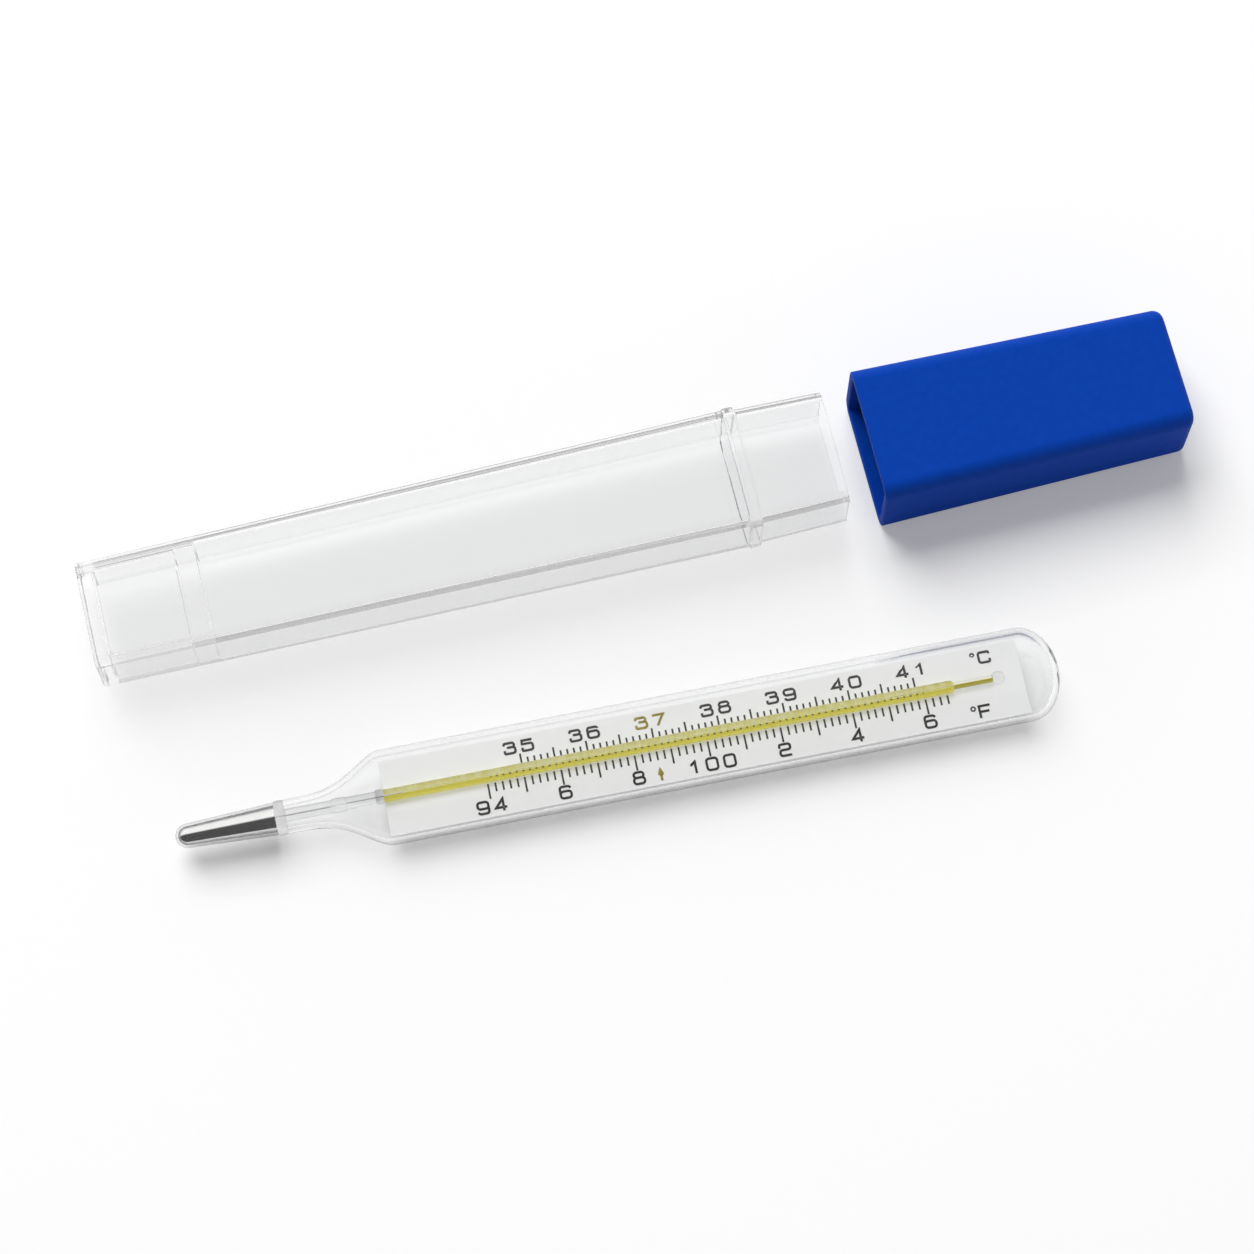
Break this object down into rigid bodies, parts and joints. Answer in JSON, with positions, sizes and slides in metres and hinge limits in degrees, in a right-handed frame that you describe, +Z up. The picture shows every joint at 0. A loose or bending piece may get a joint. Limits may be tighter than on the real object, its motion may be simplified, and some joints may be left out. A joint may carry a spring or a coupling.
{
  "type": "mercury glass thermometer with case",
  "caption": "Flat enclosed-scale mercury glass thermometer with a gold-backed capillary, lying beside its clear case and pull-off blue cap.",
  "frame": {"origin": "on the flat resting face of the thermometer's glass body, under the middle of the thermometer's length", "axes": "+X along the thermometer from the bulb to the domed end, +Y towards the case, +Z up from the surface it lies on"},
  "size_m": [0.1583, 0.0542, 0.0133],
  "materials": {
    "clear_glass": "polished",
    "mercury": "polished",
    "milk_plate": "satin",
    "gold_enamel": "gloss",
    "black_print": "matte",
    "gold_print": "matte",
    "clear_plastic": "gloss",
    "blue_plastic": "satin"
  },
  "bodies": {
    "thermometer": {"glass_envelope": "clear_glass", "neck_seal": "clear_glass", "bulb_glass": "clear_glass", "bulb_mercury": "mercury", "inner_stem": "clear_glass", "stem_bead": "clear_glass", "capillary_tube": "clear_glass", "capillary_tail": "clear_glass", "scale_plate": "milk_plate", "gold_stripe": "gold_enamel", "celsius_graduations": "black_print", "fahrenheit_graduations": "black_print", "celsius_numbers": "black_print", "fahrenheit_numbers": "black_print", "normal_number": "gold_print", "normal_mark": "gold_print", "unit_signs": "black_print"},
    "mercury_column": {"mercury_thread": "mercury", "mercury_head": "mercury"},
    "case": {"case_tube": "clear_plastic"},
    "cap": {"cap_shell": "blue_plastic"}
  },
  "joints": [
    {"name": "mercury_rise", "type": "slide", "parent": "thermometer", "child": "mercury_column", "axis": [1, 0, 0], "range_m": [0, 0.077], "deforming": ["mercury_thread"]},
    {"name": "case_lift", "type": "slide", "parent": "thermometer", "child": "case", "axis": [0, 0, 1], "range_m": [0, 0.08]},
    {"name": "cap_slide", "type": "slide", "parent": "case", "child": "cap", "axis": [0.9992, 0.0393, 0], "range_m": [-0.01735, 0.03]}
  ]
}
